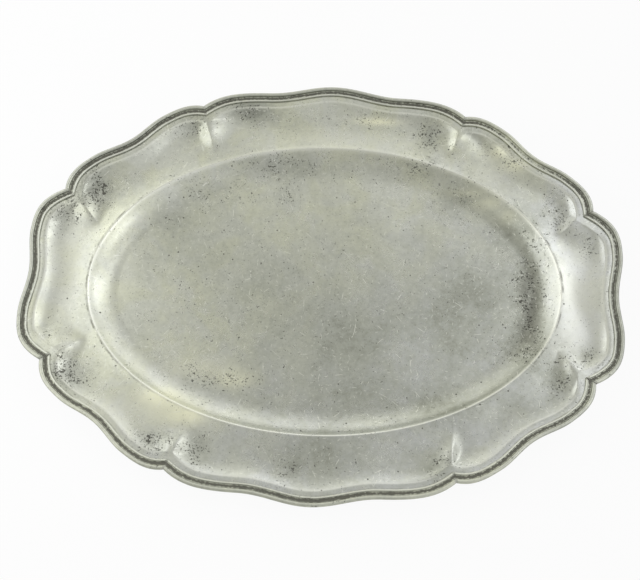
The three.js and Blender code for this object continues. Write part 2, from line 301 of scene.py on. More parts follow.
def columns_at(table, lobe, t):
    """Columns that stand on the outline at t. Each has an inward line, square to the edge, which leans
    into the mitre beside a cusp: normal + weight (mitre - normal at the cusp)."""
    lobe = np.asarray(lobe)
    side = np.where(t < 0, -1.0, 1.0)
    other = np.where(t < 0, lobe - 1, lobe + 1) % 8
    own = inward_normal(table, lobe, side)
    near = inward_normal(table, other, -side)
    mitre = (own + near) / (1 + (own * near).sum(-1, keepdims=True))
    half = chord(table, lobe)[2]
    from_cusp = half * (1 - np.abs(t))
    weight = np.clip(1 - from_cusp / table.outline.mitre_reach, 0, None) ** 2
    first = table.angles[lobe]
    last = table.angles[lobe + 1]
    return SimpleNamespace(
        lobe=lobe,
        t=t,
        edge=outline_point(table, lobe, t),
        inward=inward_normal(table, lobe, t) + weight[:, None] * (mitre - own),
        from_cusp=from_cusp,
        angle=first + (last - first) * (t + 1) / 2,
    )


def spread_t(steps, reach=1.0):
    """Values from -reach to reach, closest together at both ends: a sine of evenly spaced angles."""
    return reach * np.sin(np.linspace(-np.pi / 2, np.pi / 2, steps + 1))


def raised(plan, z):
    """Points over a plan at height z."""
    return np.concatenate((plan, np.broadcast_to(z, plan.shape[:-1])[..., None]), axis=-1)


def on_rim(columns, inset, z):
    """Points at an inset along each column's inward line, at height z."""
    inset, z, _ = np.broadcast_arrays(inset, z, columns.t)
    return raised(columns.edge + columns.inward * inset[..., None], z)


def on_well(relief, turn, inset, z):
    """Points of the oval that lies an inset inside the well's edge, turned and shifted with the well."""
    x = (relief.well_length / 2 - inset) * np.cos(turn)
    y = (relief.well_width / 2 - inset) * np.sin(turn)
    c = math.cos(relief.well_turn)
    s = math.sin(relief.well_turn)
    return np.stack((relief.well_shift_x + c * x - s * y, relief.well_shift_y + s * x + c * y, z), axis=-1)


def bell(x, half, middle=0.0, strength=1.0):
    """A smooth bump: strength exp(-((x - middle) / half)^2)."""
    return strength * np.exp(-(((x - middle) / half) ** 2))


def hand_waver(plan, wavelength, seed):
    """Gentle unevenness of about unit height: a sum of plane waves in random directions."""
    rng = np.random.default_rng(seed)
    heading = rng.uniform(0, 2 * np.pi, WAVES)
    pitch = 2 * np.pi / (wavelength * rng.uniform(*WAVE_SPREAD, WAVES))
    phase = rng.uniform(0, 2 * np.pi, WAVES)
    total = np.zeros(plan.shape[:-1])
    for h, k, p in zip(heading, pitch, phase):
        total += np.sin(k * (plan[..., 0] * np.cos(h) + plan[..., 1] * np.sin(h)) + p)
    return total / math.sqrt(WAVES / 2)


def edge_profile(relief, far):
    """How the well's edge departs from a sharp one, at a distance from its line: a fine raised line,
    lip exp(-far / run), less a rounding, half the change of slope times
    (root of (far^2 + round^2) - far)."""
    change = RIM_SLOPE + relief.wall_power * relief.well_depth / relief.wall_run
    rounding = change / 2 * (np.sqrt(far**2 + relief.edge_round**2) - far)
    return relief.lip * np.exp(-far / relief.lip_run) - rounding


def web_share(columns, relief, v):
    """How far the flat web beside a cusp fills a panel, 1 on the web: exp(-(past / side)^power), with past
    the distance beyond the web, whose width shrinks as (1 - v)^taper while its sides reach out as
    1 + fade v^2. A web is narrow at the start of a panel, with a steep side of the lobe's own, and wide and
    gentle at its end. It sinks away by a smooth step before it reaches the well."""
    start = columns.t < 0
    width = np.where(start, relief.web_width, relief.web_width_end) * (1 - v) ** WEB_TAPER
    own = np.array(relief.web_side)[columns.lobe]
    side = np.where(start, own, relief.web_side_end) * (1 + relief.web_fade * v**2)
    past = np.clip(columns.from_cusp - width, 0, None)
    end = np.array(relief.ridge_end)[np.where(start, columns.lobe, columns.lobe + 1) % 8]
    sunk = np.clip((v - relief.ridge_start) / (end - relief.ridge_start), 0, 1)
    return np.exp(-((past / side) ** relief.web_power)) * (1 - sunk**2 * (3 - 2 * sunk))


def panel_surface(columns, relief, at, v, drop):
    """Rim panel from its shoulder, v = 0, to the well's edge, v = 1: its points, its web, and how far each
    point is from the edge. It falls in a straight line less a hollow, pocket (1 - v^inner), a little
    shallower at the middle of its lobe. The pocket is a rounded lesser of two walls,
    a = 1 - (1 - v)^outer along the shoulder and b = 1 - web along the crease:
    a b / (a^n + b^n - (a b)^n)^(1/n)."""
    outer = on_rim(columns, at.panel_inset, 0.0)[..., :2]
    inner = on_well(relief, columns.angle, 0.0, np.zeros(len(columns.t)))[..., :2]
    web = web_share(columns, relief, v)
    start = at.land - relief.shoulder_drop * (1 - web_share(columns, relief, 0.0))
    middle = bell(columns.t, relief.middle_reach)
    outer_middle = np.array(relief.outer_middle)[columns.lobe]
    a = 1 - (1 - v) ** (relief.outer_power + (outer_middle - relief.outer_power) * middle)
    b = 1 - web
    n = relief.corner_power
    pocket = a * b / (a**n + b**n - (a * b) ** n + TINY) ** (1 / n)
    hollow = HOLLOW_SCALE * pocket * (1 - v**relief.inner_power)
    own = 1 + (np.array(relief.lobe_depth)[columns.lobe] - 1) * (1 - columns.t**DEPTH_POWER)
    depth = relief.panel_hollow * own * (1 - relief.middle_share * middle)
    z = start + (at.edge - start) * v - depth * hollow - drop
    plan = outer + (inner - outer) * v[..., None]
    far = np.linalg.norm(inner - plan, axis=-1)
    return raised(plan, z), web, far


def wall_surface(columns, relief, at, x, thickness):
    """The well's wall from its edge, x = 0, to the floor, x = 1: it falls as (1 - x)^power, and is set
    back square to its slope by a thickness."""
    power = relief.wall_power
    fall = np.arctan(power * relief.well_depth * (1 - x) ** (power - 1) / relief.wall_run)
    inset = relief.wall_run * x - thickness * np.sin(fall)
    z = at.floor + relief.well_depth * (1 - x) ** power - thickness * np.cos(fall)
    turn, inset = np.broadcast_arrays(columns.angle, inset)
    return on_well(relief, turn, inset, z + 0 * turn)


def ring_faces(rows, count):
    """Quads between rows of points that each close on themselves."""
    row = np.arange(rows - 1)[:, None] * count
    j = np.arange(count)[None]
    n = (j + 1) % count
    return np.stack((row + j, row + n, row + count + n, row + count + j), axis=-1).reshape(-1, 4)


def put_object(name, data):
    """A new object in the scene."""
    made = bpy.data.objects.new(name, data)
    bpy.context.scene.collection.objects.link(made)
    return made


def put_piece(name, points, faces, marks, finish):
    """Makes a mesh piece from points and faces with a value of each mark at every point, shaded smooth
    with its real corners sharp, and fixes it to the platter."""
    mesh = bpy.data.meshes.new(name)
    mesh.from_pydata(points.tolist(), [], faces)
    for mark, values in marks.items():
        layer = mesh.attributes.new(mark, "FLOAT", "POINT")
        layer.data.foreach_set("value", np.ascontiguousarray(values, np.float32).ravel())
    mesh.polygons.foreach_set("use_smooth", np.ones(len(mesh.polygons), bool))
    mesh.set_sharp_from_angle(angle=SHARP_ANGLE)
    mesh.materials.append(finish)
    mesh.update()
    piece = put_object(name, mesh)
    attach(piece, "root")
    return piece


class Finish:
    """The nodes of a material or a world in the making, with short ways to add more."""

    # Sockets of a mix of colours: the two that go in, and the one that comes out
    COLOURS = (6, 7)
    MIXED = 2

    def __init__(self, owner):
        owner.use_nodes = True
        self.owner = owner
        self.tree = owner.node_tree
        self.tree.nodes.clear()

    def node(self, kind, inputs=None, **options):
        """Adds a node, sets its options, and sets or links its inputs."""
        made = self.tree.nodes.new(kind)
        for key, value in options.items():
            setattr(made, key, value)
        for key, value in (inputs or {}).items():
            if isinstance(value, bpy.types.NodeSocket):
                self.tree.links.new(value, made.inputs[key])
            else:
                made.inputs[key].default_value = value
        return made

    def place(self):
        """The piece's own coordinates, in metres."""
        return self.node("ShaderNodeTexCoord").outputs["Object"]

    def split(self, vector):
        """The three parts of a vector."""
        return self.node("ShaderNodeSeparateXYZ", {"Vector": vector}).outputs

    def mark(self, name):
        """A mark that the mesh carries."""
        return self.node("ShaderNodeAttribute", attribute_name=name).outputs["Fac"]

    def noise(self, vector, size, detail=3.0, rough=0.55, warp=0.0):
        """Soft noise whose features are about size metres across."""
        inputs = {"Vector": vector, "Scale": 1 / size, "Detail": detail, "Roughness": rough}
        inputs["Distortion"] = warp
        return self.node("ShaderNodeTexNoise", inputs).outputs["Fac"]

    def noises(self, vector, table):
        """Every noise of a table, by name."""
        return SimpleNamespace(**{key: self.noise(vector, *values) for key, values in table.items()})

    def cells(self, vector, size):
        """Nearest-point cells about size metres across, and the random numbers of each."""
        cell = self.node("ShaderNodeTexVoronoi", {"Vector": vector, "Scale": 1 / size}).outputs
        return cell, self.node("ShaderNodeSeparateColor", {"Color": cell["Color"]}).outputs

    def math(self, operation, a, b=0.0, clamp=False):
        """One step of arithmetic."""
        return self.node("ShaderNodeMath", {0: a, 1: b}, operation=operation, use_clamp=clamp).outputs[0]

    def plus(self, total, *values, clamp=False):
        """A sum, held between 0 and 1 if it is clamped."""
        *others, last = values
        for value in others:
            total = self.math("ADD", total, value)
        return self.math("ADD", total, last, clamp)

    def less(self, total, *values):
        """What is left after some values are taken away."""
        for value in values:
            total = self.math("SUBTRACT", total, value)
        return total

    def times(self, a, b, clamp=False):
        """A product, held between 0 and 1 if it is clamped."""
        return self.math("MULTIPLY", a, b, clamp)

    def most(self, greatest, *values):
        """The greatest of some values."""
        for value in values:
            greatest = self.math("MAXIMUM", greatest, value)
        return greatest

    def ramp(self, value, low, high):
        """A smooth step from 0 at low to 1 at high."""
        inputs = {"Value": value, "From Min": low, "From Max": high}
        return self.node("ShaderNodeMapRange", inputs, interpolation_type="SMOOTHSTEP").outputs["Result"]

    def scale(self, value, low, high):
        """A value from 0 to 1 spread between low and high."""
        inputs = {"Value": value, "To Min": low, "To Max": high}
        return self.node("ShaderNodeMapRange", inputs).outputs["Result"]

    def blend(self, factor, a, b):
        """One colour over another."""
        inputs = {"Factor": factor}
        for key, colour in zip(self.COLOURS, (a, b)):
            inputs[key] = colour if isinstance(colour, bpy.types.NodeSocket) else (*colour, 1.0)
        return self.node("ShaderNodeMix", inputs, data_type="RGBA").outputs[self.MIXED]

    def coat(self, over, cover, strength=1.0):
        """Lays a colour over the one so far, where its cover says and at a strength, 1 at most."""
        self.colour = self.blend(self.times(cover, strength, clamp=True), self.colour, over)

    def metal(self, roughness, height, depth, metallic):
        """Closes the material: a metal of the colour so far, with this roughness and fine relief."""
        inputs = {"Height": height, "Distance": depth, "Strength": 1.0}
        bump = self.node("ShaderNodeBump", inputs).outputs["Normal"]
        inputs = {"Base Color": self.colour, "Roughness": roughness, "Metallic": metallic, "Normal": bump}
        surface = self.node("ShaderNodeBsdfPrincipled", inputs)
        self.node("ShaderNodeOutputMaterial", {"Surface": surface.outputs["BSDF"]})
        return self.owner


# Noises of each finish: size in metres, detail, roughness and warp
DISH_NOISES = {
    "clouds": (0.06, 4.0, 0.6, 0.6),
    "hue": (0.028, 3.0, 0.6, 0.4),
    "mottle": (0.012, 4.0, 0.65),
    "patches": (0.011, 4.0, 0.7),
    "dirt_and_shade": (0.009, 4.0, 0.7),
    "smear": (0.007, 4.0, 0.7),
    "spots": (0.0042, 3.0, 0.65),
    "grain": (0.0016, 3.0, 0.75),
}
MOULDING_NOISES = {
    "worn": (0.045, 3.0, 0.6),
    "clouds": (0.03, 4.0, 0.6),
    "mottle": (0.006, 4.0, 0.65),
    "ragged": (0.002, 4.0, 0.75),
}
SOLDER_NOISES = {"clouds": (0.012, 3.0, 0.6), "lumps": (0.0022, 3.0, 0.6)}

# Pits: size in metres, and the limits of their noise where they are few and where they crowd
DISH_PITS = ((0.0014, 0.69, 0.5), (0.0034, 0.73, 0.55))
MOULDING_PITS = (0.0024, 0.74, 0.62)
PIT_DETAIL = (3.0, 0.7)  # detail and roughness of that noise
PIT_EDGE = 0.045  # how far over its limit a pit is fully dark

# Specks: size of their cells in metres, portion of cells that hold one, and width as a share of a cell
DARK_SPECKS = (0.01, 0.8, 0.08)
# painted glints: small bright specks
GLINT_SPECKS = (0.004, 0.012, 0.1)

# Short ticks: size of their cells, portion of cells that hold one, half length and half width, in metres
TICKS = ((0.005, 0.28, 0.0013, 0.00018), (0.014, 0.22, 0.0032, 0.0002))

# Long hairlines: size of their bends in metres, shift, and width on the scale of their noise
HAIRS = ((0.13, 0.3, 0.001), (0.16, 1.1, 0.0009))
HAIR_STRENGTH = 0.7
HAIR_BREAKS = (0.0036, 1.0)  # size in metres and detail of the noise that breaks them up
HAIR_RUNS = (0.54, 0.6)  # where that noise lets them show

# How much of a speck, of a scratch's width and of a tick's length is whole before it fades
SPECK_CORE = 0.5
LINE_CORE = 0.3
TICK_CORE = 0.6

# How strongly each layer covers the metal
DISH_COATS = SimpleNamespace(film=0.6, grain=0.5, scratches=0.85, rubbed_and_highlight=0.55, pits=0.86, dirt_and_shade=0.5)
MOULDING_COATS = SimpleNamespace(film=0.7, groove=0.92, pits=0.8)
SOLDER_COATS = SimpleNamespace(film=0.9)

# Fine relief of each finish in metres, and how metallic it is
DISH_SURFACE = (0.00012, 0.96)
MOULDING_SURFACE = (0.00014, 0.95)
SOLDER_SURFACE = (0.00018, 0.93)

# How the dish turns from yellowish to grey: slant of the change, and where it starts and ends in metres
HUE_SLANT = 1.3
HUE_RUN = (-0.08, 0.16)


def pits(f, place, crowd, size, few, many):
    """Ragged dark pits where a fine noise stands over a limit, which falls from few to many as they
    crowd."""
    grain = f.noise(place, size, *PIT_DETAIL)
    return f.ramp(f.less(grain, f.scale(crowd, few, many)), 0.0, PIT_EDGE)


def specks(f, place, size, portion, width):
    """Small round specks in a portion of the cells."""
    cell, random = f.cells(place, size)
    chosen = f.math("LESS_THAN", random["Red"], portion)
    return f.times(chosen, f.ramp(cell["Distance"], width, width * SPECK_CORE))


def hairs(f, place, size, shift, thin):
    """Fine curved hairlines: the level lines of a soft noise, broken up into short runs by a second one."""
    inputs = {0: place, 1: (shift, shift / 2, 0.0)}
    moved = f.node("ShaderNodeVectorMath", inputs, operation="ADD").outputs[0]
    level = f.noise(moved, size, 0.0)
    line = f.ramp(f.math("ABSOLUTE", f.less(level, 0.5)), thin, thin * LINE_CORE)
    return f.times(line, f.ramp(f.noise(moved, *HAIR_BREAKS), *HAIR_RUNS))


def ticks(f, place, size, portion, reach, thin):
    """Short straight ticks: a line through the middle of a portion of the cells, each turned its own
    way."""
    cell, random = f.cells(place, size)
    inputs = {0: place, 1: cell["Position"]}
    offset = f.node("ShaderNodeVectorMath", inputs, operation="SUBTRACT").outputs[0]
    inputs = {"Vector": offset, "Angle": f.times(random["Green"], 2 * math.pi)}
    axis = f.split(f.node("ShaderNodeVectorRotate", inputs, rotation_type="Z_AXIS").outputs["Vector"])
    line = f.ramp(f.math("ABSOLUTE", axis["Y"]), thin, thin * LINE_CORE)
    along = f.ramp(f.math("ABSOLUTE", axis["X"]), reach, reach * TICK_CORE)
    chosen = f.math("LESS_THAN", random["Red"], portion)
    return f.times(f.times(line, along), chosen)


def scratches(f, place):
    """All the fine scratches: a few long hairlines and many short ticks."""
    long = f.times(f.most(*(hairs(f, place, *hair) for hair in HAIRS)), HAIR_STRENGTH)
    return f.most(long, *(ticks(f, place, *tick) for tick in TICKS))


def dish_finish(c):
    """Worn pewter of the dish, from yellowish at the back left to grey at the front right: a soft tarnish
    in clouds and smears with painted shade over the front and the floor, dark pits in clusters, dark lines
    of dirt and painted shade beside the moulding and the well's edge, painted reflections of a warm lamp,
    rubbed places with painted highlights, painted glints and fine scratches."""
    f = Finish(bpy.data.materials.new("pewter_dish"))
    strength = DISH_COATS
    place = f.place()
    n = f.noises(place, DISH_NOISES)
    corroded = f.mark("corroded")
    rubbed_and_highlight = f.mark("rubbed_and_highlight")
    lines = scratches(f, place)
    axis = f.split(place)
    across = f.ramp(f.less(axis["X"], f.times(axis["Y"], HUE_SLANT)), *HUE_RUN)
    hue = f.plus(f.scale(f.ramp(n.hue, 0.36, 0.64), 0.0, 0.5), f.times(across, 0.6), clamp=True)
    # film: tarnish, and painted shade where the tarnish_and_shade mark darkens the front half and the floor
    film = f.plus(
        f.times(f.mark("tarnish_and_shade"), f.scale(n.clouds, 0.55, 1.35)),
        f.scale(f.ramp(n.clouds, 0.34, 0.7), -0.05, 0.26),
        f.scale(n.mottle, -0.16, 0.16),
        f.scale(n.spots, -0.42, 0.42),
        f.scale(n.grain, -0.35, 0.35),
        f.times(corroded, f.scale(n.smear, 0.0, 1.3)),
    )
    film = f.less(film, f.times(rubbed_and_highlight, 0.5))
    f.colour = f.blend(hue, c.pewter, c.grey)
    f.coat(c.tarnish, film)
    f.coat(c.patina, f.ramp(film, 0.8, 1.7), strength.film)
    f.coat(c.bright, f.ramp(n.grain, 0.54, 0.76), strength.grain)
    f.coat(c.patina, f.ramp(n.grain, 0.46, 0.23), strength.grain)
    # painted reflections of a warm lamp, in streaks and patches
    f.coat(c.warm_reflection_colour, f.mark("warm_reflection"), f.scale(n.mottle, 0.5, 1.3))
    f.coat(c.bright, lines, strength.scratches)
    # painted highlights together with rubbed metal, where the rubbed_and_highlight mark says
    f.coat(c.bright, rubbed_and_highlight, strength.rubbed_and_highlight)
    patches = f.ramp(n.patches, 0.36, 0.62)
    crowd = f.times(corroded, f.scale(patches, 0.3, 0.95))
    crowd = f.plus(crowd, f.times(patches, 0.24), clamp=True)
    pitted = [pits(f, place, crowd, *pit) for pit in DISH_PITS]
    pitted = f.most(*pitted, specks(f, place, *DARK_SPECKS))
    f.coat(c.pit, pitted, strength.pits)
    # painted glints
    f.coat(c.bright, specks(f, place, *GLINT_SPECKS))
    # dark lines: dirt and painted shade in the corner at the moulding's foot, painted shade beside the
    # well's edge, cracks at the joints and dirt under the rim
    dirt_and_shade = f.times(f.mark("grime_and_shade"), f.ramp(n.dirt_and_shade, 0.36, 0.66), clamp=True)
    f.coat(c.patina, dirt_and_shade, strength.dirt_and_shade)
    rough = f.plus(f.scale(n.clouds, 0.22, 0.34), f.scale(n.mottle, -0.05, 0.07))
    rough = f.plus(rough, f.times(f.most(pitted, dirt_and_shade), 0.3), clamp=True)
    height = f.plus(f.scale(n.grain, 0.0, 0.12), f.scale(n.mottle, 0.0, 0.35))
    height = f.less(height, f.times(pitted, 0.9), f.times(lines, 0.12))
    return f.metal(rough, height, *DISH_SURFACE)


def moulding_finish(c):
    """Worn pewter of the moulding: dark patina with ragged edges in its groove, rubbed bead and reed with a
    painted highlight on their tops.
    """
    f = Finish(bpy.data.materials.new("pewter_moulding"))
    strength = MOULDING_COATS
    place = f.place()
    n = f.noises(place, MOULDING_NOISES)
    film = f.plus(
        f.scale(n.clouds, 0.1, 0.8),
        f.scale(n.mottle, -0.5, 0.55),
        f.scale(n.ragged, -0.6, 0.6),
        f.mark("dulled"),
    )
    f.colour = c.pewter
    f.coat(c.tarnish, film)
    f.coat(c.patina, f.ramp(film, 0.9, 1.7), strength.film)
    # rubbed bead and reed, lighter at their tops as a painted highlight
    f.coat(c.bright, f.mark("rubbed_and_highlight"), f.scale(n.clouds, 0.2, 0.9))
    dark = f.plus(f.mark("groove"), f.scale(n.ragged, -1.4, 1.5), f.scale(n.worn, -0.55, 0.45))
    dark = f.ramp(f.less(dark, f.times(f.mark("thinned"), 0.5)), 0.36, 0.72)
    f.coat(c.patina, dark, strength.groove)
    pitted = pits(f, place, f.ramp(n.worn, 0.4, 0.7), *MOULDING_PITS)
    f.coat(c.pit, pitted, strength.pits)
    rough = f.plus(f.scale(n.mottle, 0.3, 0.46), f.times(dark, 0.2), clamp=True)
    height = f.plus(f.scale(n.mottle, 0.0, 0.5), f.scale(n.ragged, 0.0, 0.25))
    return f.metal(rough, f.less(height, f.times(pitted, 0.7)), *MOULDING_SURFACE)


def solder_finish(c):
    """Dull grey solder with a slightly lumpy skin and dark film in its hollows."""
    f = Finish(bpy.data.materials.new("solder"))
    n = f.noises(f.place(), SOLDER_NOISES)
    f.colour = c.solder
    f.coat(c.tarnish, f.ramp(n.clouds, 0.3, 0.7))
    dark = f.ramp(f.plus(f.mark("groove"), f.scale(n.lumps, -0.4, 0.4)), 0.4, 0.75)
    f.coat(c.patina, dark, SOLDER_COATS.film)
    rough = f.plus(f.scale(n.lumps, 0.36, 0.56), f.times(dark, 0.15), clamp=True)
    return f.metal(rough, n.lumps, *SOLDER_SURFACE)


def dish_columns(table, steps):
    """Columns right round the outline, with one on every cusp."""
    t = spread_t(steps)[:-1]
    lobe = np.repeat(np.arange(8), steps)
    return columns_at(table, lobe, np.tile(t, 8))


def soft_patches(plan, places):
    """Sum of soft oval patches at each point, 1 at most: strength exp(-(x / half)^2 - (y / half)^2)."""
    total = np.zeros(plan.shape[:-1])
    for x, y, half_x, half_y, strength in places:
        far = ((plan[..., 0] / MM - x) / half_x) ** 2 + ((plan[..., 1] / MM - y) / half_y) ** 2
        total += strength * np.exp(-far)
    return np.clip(total, 0, 1)


# Where pits crowd, in millimetres: middle, half width each way, and strength
CORRODED = (
    (-20, 98, 42, 8, 0.6), (-30, 76, 9, 14, 0.4), (-85, 76, 26, 10, 0.4), (-112, 50, 14, 10, 0.35),
    (-172, 68, 12, 18, 0.9), (-194, 46, 11, 12, 0.8), (-105, 122, 13, 13, 0.5), (-62, 139, 14, 9, 0.7),
    (-35, 132, 22, 10, 0.25), (62, 98, 26, 9, 0.6), (97, 77, 15, 12, 0.5), (76, 124, 10, 14, 0.8),
    (138, 114, 26, 20, 0.6), (172, 66, 11, 15, 0.8), (193, 40, 12, 12, 0.5), (151, 2, 10, 42, 0.85),
    (138, -40, 16, 8, 0.5), (186, -46, 15, 9, 0.6), (170, -62, 11, 16, 0.6), (86, -128, 13, 12, 0.6),
    (-16, -134, 15, 12, 0.5), (-80, -123, 9, 16, 0.6), (-109, -120, 16, 9, 0.9), (-175, -76, 15, 16, 0.9),
    (-75, -70, 32, 11, 0.45), (-190, -48, 10, 8, 0.4), (40, 134, 40, 12, 0.35), (0, 0, 260, 200, 0.1),
    (-62, -25, 45, 50, 0.15),
)

# Where a grey film lies, and where painted shade darkens the front half and the floor, in the same way
TARNISH_AND_SHADE = (
    (40, -35, 120, 60, 0.6), (128, 10, 36, 45, 0.42), (10, -126, 80, 22, 0.6), (165, -60, 40, 30, 0.15),
    (-180, 66, 22, 20, 0.35), (140, 112, 24, 16, 0.25), (-142, -98, 30, 20, 0.2), (-100, 128, 14, 10, 0.35),
    (-64, 139, 18, 9, 0.6), (-70, 98, 30, 12, 0.3), (-152, 74, 20, 14, 0.3), (98, 76, 22, 15, 0.45),
    (137, 54, 20, 18, 0.65), (40, -86, 100, 16, 0.55), (-112, 42, 34, 24, 0.3), (20, 20, 110, 50, 0.15),
    (151, 2, 11, 44, 0.4), (-38, 98, 26, 10, 0.2), (102, -117, 9, 12, 0.35), (108, 126, 8, 9, 0.5),
    (190, -45, 8, 6, 0.5), (174, -60, 9, 9, 0.15),
)

# Where a painted reflection of a warm lamp lies, in the same way
WARM_REFLECTIONS = (
    (-112, -88, 16, 8, 0.8), (-92, -100, 18, 8, 0.8), (36, 136, 16, 3, 0.9), (128, 113, 8, 5, 0.6),
    (140, 103, 10, 5, 0.6), (-84, -63, 22, 9, 0.35), (-60, -70, 14, 7, 0.5), (106, 82, 12, 3, 0.25),
    (122, 74, 11, 4, 0.3), (135, 64, 7, 6, 0.25),
)

# Where the metal is polished by use and holds a painted highlight, in the same way
POLISH_AND_HIGHLIGHTS = (
    (-185, 6, 10, 45, 0.4), (184, -8, 18, 46, 0.9), (-146, 12, 8, 40, 0.3), (-137, -97, 24, 16, 0.5),
    (8, 119, 50, 8, 0.4), (126, 100, 20, 14, 0.4),
)

# Joints of the moulding that have cracked, with how dark each is, and the crack's run into the rim
CRACKED = {"right": 0.7, "left": 0.8, "front_right": 1.0}
CRACKS = ((194, -58, 1.3, 2.6, 1.0), (198, 62, 1.4, 1.4, 0.8))

# Where the dark film has worn out of the moulding's groove, in the same way
THINNED = (
    (150, 108, 34, 30, 0.9), (205, 30, 14, 30, 0.5), (60, 150, 30, 12, 0.3), (190, -80, 30, 20, 0.3),
    (-10, 155, 90, 14, 0.2),
)

# Where the moulding is duller, in the same way
DULLED = (
    (216, -10, 20, 70, 0.8), (180, -105, 45, 35, 0.5), (190, 75, 40, 40, 0.5), (0, 155, 150, 26, 0.45),
    (-165, 105, 60, 50, 0.6), (-214, 0, 26, 70, 0.5), (-60, -150, 120, 26, 0.3),
)

WORN = {"corroded": CORRODED, "tarnish_and_shade": TARNISH_AND_SHADE, "warm_reflection": WARM_REFLECTIONS}

# How far each goes on the underside, which lies out of sight, is never rubbed and holds no painted
# reflection
UNDERSIDE = {"corroded": 0.25, "tarnish_and_shade": 0.55, "warm_reflection": 0.0}

# Rows of the dish, as shares of the way or as insets in metres
UNDER_RINGS = np.linspace(0.12, 0.98, 8)
UNDER_WALL = (1.0, 0.9, 0.75, 0.6, 0.45, 0.3, 0.15, 0.05)
UNDER_PANEL = (0.93, 0.85, 0.72, 0.6, 0.48, 0.38, 0.28, 0.19, 0.1, 0.04)
BAND_INSETS = (0.004, 0.006, 0.0068, 0.0072, 0.0075, 0.0079, 0.0084, 0.009, 0.0096)
SHOULDER_ROWS = np.linspace(0, 1, 9)[1:]
PANEL_ROWS = np.append(np.linspace(0, 0.88, 37)[1:], np.linspace(0.88, 1.0, 15)[1:])
WALL_ROWS = np.append(np.linspace(0, 0.2, 10)[1:], np.linspace(0.2, 1, 18)[1:])
FLOOR_RINGS = np.linspace(1, 0, 26)[1:-1]
EDGE_BREAK = 0.0001  # how far the corners of the sheet's edge are broken
EDGE_MARGIN = 0.0005  # last row of the underside inside that edge

# Dirt under the rim and on the sheet's edge
UNDER_DIRT = 0.3
EDGE_DIRT = 0.5

# Beside a line of the shape, dirt with painted shade at the moulding's foot, painted shade at the well's
# edge and a painted highlight on the shoulder: half width, middle and strength
FOOT_DIRT_AND_SHADE = (0.0005, 0.0002)
WELL_SHADE = (0.0006, 0.0011, 1.6)
SHOULDER_HIGHLIGHT = (0.35, 0.55, 0.85)

# How far the well's edge is rubbed and given a painted highlight outwards, how much further that painted
# highlight reaches at the back, and how far inwards
EDGE_RUB_AND_HIGHLIGHT = 0.0005
BACK_HIGHLIGHT = 0.0011
WALL_RUB_AND_HIGHLIGHT = 0.0013

# How strongly a painted highlight lies along the ridges, how narrow that line is, and how soon it ends
RIDGE_HIGHLIGHT = 0.2
RIDGE_CREST = 5
RIDGE_RUN = 1.4

# Hand finishing: wavelength in metres and seed
PANEL_WAVER = (0.045, 3)
FLOOR_WAVER = (0.06, 5)
PANEL_EASE = 0.7  # how soon it grows from both sides of a panel
FLOOR_EASE = 5  # it grows over the outer fifth of the floor


